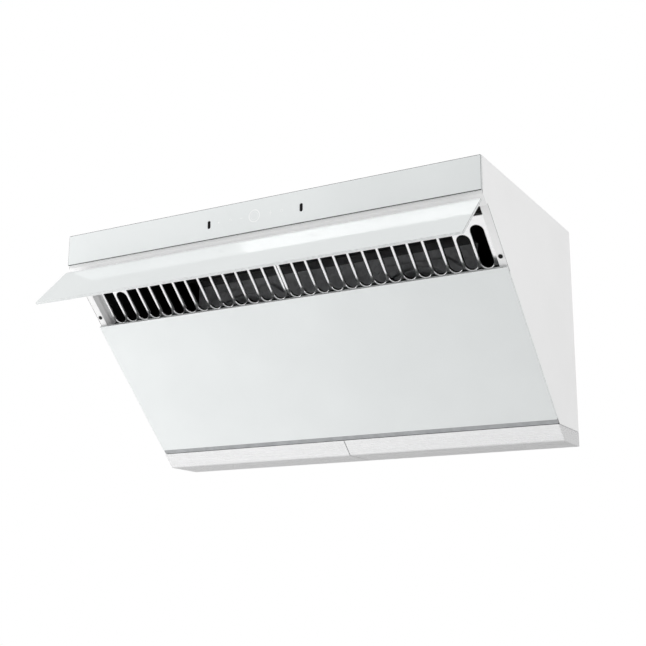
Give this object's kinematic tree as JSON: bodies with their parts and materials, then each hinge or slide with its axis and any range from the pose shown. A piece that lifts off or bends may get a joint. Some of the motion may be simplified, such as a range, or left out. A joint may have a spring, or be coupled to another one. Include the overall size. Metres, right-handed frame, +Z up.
{
  "type": "under cabinet range hood",
  "caption": "Under-cabinet range hood with a slanted white glass front, an upright touch panel, an opening vent flap over a slotted steel grille, twin blowers and sliding oil trays.",
  "frame": {"origin": "middle of the flat back, where it meets the wall: half the width and half the height from the underside of the trays to the top", "axes": "+X along the width to the right of a person facing it, +Y into the wall, +Z up"},
  "size_m": [0.75, 0.4563, 0.398],
  "materials": {
    "white_glass": "gloss, back-painted white tempered glass",
    "white_steel": "satin white powder coat",
    "galvanised_steel": "galvanised sheet, dull spangle",
    "stainless_steel": "fine brushed stainless",
    "bright_steel": "bright zinc plate",
    "motor_case": "black stoved enamel",
    "grey_trim": "satin grey",
    "foam_tape": "matt foam",
    "black_rubber": "matt",
    "black_gloss": "gloss infrared window",
    "black_plastic": "moulded",
    "black_steel": "satin black coat",
    "circuit_board": "solder mask",
    "light_channel": "anodised",
    "frosted_cover": "frosted"
  },
  "bodies": {
    "hood_body": {"back_panel": "galvanised_steel", "bottom_panel": "galvanised_steel", "collar_screws": "bright_steel", "control_board": "circuit_board", "control_box": "galvanised_steel", "control_box_cover": "black_plastic", "control_frame": "white_steel", "control_glass": "white_glass", "damper_rod": "bright_steel", "drain_spouts": "black_plastic", "duct_collar": "galvanised_steel", "fan_plate": "galvanised_steel", "flap_bumpers": "black_rubber", "front_panel": "white_steel", "glass_tape": "foam_tape", "glass_trim": "grey_trim", "grille_ledge": "galvanised_steel", "grille_left": "stainless_steel", "grille_magnets": "bright_steel", "grille_rail": "black_steel", "grille_right": "stainless_steel", "header_panel": "white_steel", "hinge_brackets": "galvanised_steel", "inlet_rings": "galvanised_steel", "led_bars": "light_channel", "led_lenses": "frosted_cover", "main_glass": "white_glass", "motor_left": "motor_case", "motor_right": "motor_case", "motor_screws": "bright_steel", "plenum": "black_plastic", "power_board": "circuit_board", "scroll_left": "galvanised_steel", "scroll_right": "galvanised_steel", "sensor_windows": "black_gloss", "side_panel_left": "white_steel", "side_panel_right": "white_steel", "supply_bushing": "black_plastic", "top_panel": "white_steel", "top_screws": "bright_steel", "tray_runners": "galvanised_steel", "vent_flange_left": "white_steel", "vent_flange_right": "white_steel"},
    "vent_flap": {"flap_glass": "white_glass", "flap_pan": "white_steel", "hinge_arms": "galvanised_steel", "hinge_pins": "bright_steel", "arm_screws": "bright_steel"},
    "fan_left": {"impeller_left": "galvanised_steel", "impeller_ring_left": "galvanised_steel", "motor_shaft_left": "bright_steel"},
    "fan_right": {"impeller_right": "galvanised_steel", "impeller_ring_right": "galvanised_steel", "motor_shaft_right": "bright_steel"},
    "damper_left": {"damper_flap_left": "galvanised_steel"},
    "damper_right": {"damper_flap_right": "galvanised_steel"},
    "tray_left": {"oil_tray_left": "stainless_steel", "tray_lips_left": "stainless_steel"},
    "tray_right": {"oil_tray_right": "stainless_steel", "tray_lips_right": "stainless_steel"}
  },
  "joints": [
    {"name": "vent_flap_hinge", "type": "hinge", "parent": "hood_body", "child": "vent_flap", "pos_m": [0, -0.37508, 0.1224], "axis": [1, 0, 0], "range_deg": [0, 90]},
    {"name": "fan_spin_left", "type": "hinge", "parent": "hood_body", "child": "fan_left", "pos_m": [-0.1655, -0.1, 0.021], "axis": [0, 1, 0], "continuous": true},
    {"name": "fan_spin_right", "type": "hinge", "parent": "hood_body", "child": "fan_right", "pos_m": [0.1655, -0.1, 0.021], "axis": [0, 1, 0], "continuous": true},
    {"name": "damper_turn_left", "type": "hinge", "parent": "hood_body", "child": "damper_left", "pos_m": [0, -0.11, 0.2], "axis": [0, 1, 0], "range_deg": [0, 75]},
    {"name": "damper_turn_right", "type": "hinge", "parent": "hood_body", "child": "damper_right", "pos_m": [0, -0.11, 0.2], "axis": [0, -1, 0], "range_deg": [0, 75]},
    {"name": "tray_slide_left", "type": "slide", "parent": "hood_body", "child": "tray_left", "axis": [0, -1, 0], "range_m": [0, 0.08]},
    {"name": "tray_slide_right", "type": "slide", "parent": "hood_body", "child": "tray_right", "axis": [0, -1, 0], "range_m": [0, 0.08]}
  ]
}
